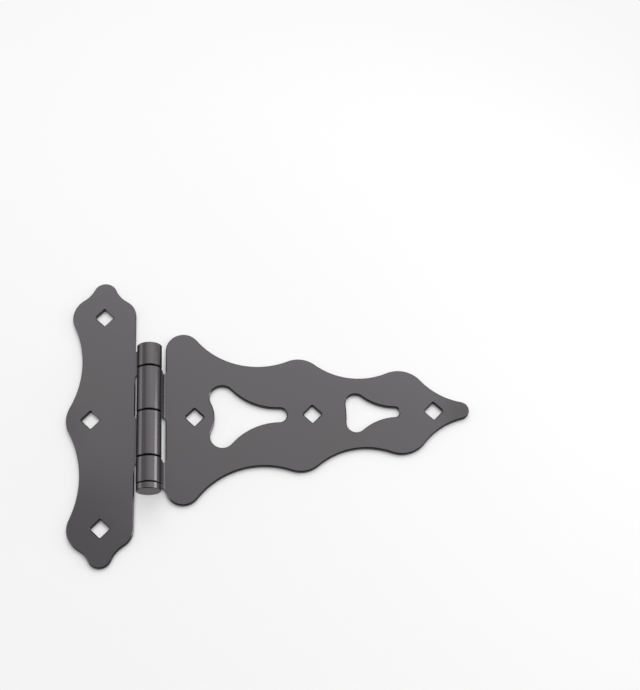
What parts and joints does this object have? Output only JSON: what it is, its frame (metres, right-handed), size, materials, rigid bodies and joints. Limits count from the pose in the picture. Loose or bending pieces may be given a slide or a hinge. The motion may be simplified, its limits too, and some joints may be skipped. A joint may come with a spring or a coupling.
{
  "type": "tee hinge",
  "caption": "Tee hinge in dark satin steel: a long pierced strap leaf with a round tip swings on a pin in a cross leaf with rounded finials, with square bolt holes.",
  "frame": {"origin": "on the surface that the leaves are fixed to, straight under the pin, on the strap's centre line", "axes": "+X along the strap towards its tip, +Y along the pin away from its head, +Z out of the fixing surface"},
  "size_m": [0.2555, 0.1904, 0.0202],
  "materials": {
    "strap_steel": "satin",
    "jamb_steel": "satin",
    "pin_steel": "satin"
  },
  "bodies": {
    "post_side": {"jamb_leaf": "jamb_steel"},
    "gate_side": {"strap_leaf": "strap_steel", "hinge_pin": "pin_steel"}
  },
  "joints": [
    {"name": "strap_swing", "type": "hinge", "parent": "post_side", "child": "gate_side", "pos_m": [0, 0, 0.0124], "axis": [0, -1, 0], "range_deg": [-65, 180]}
  ]
}
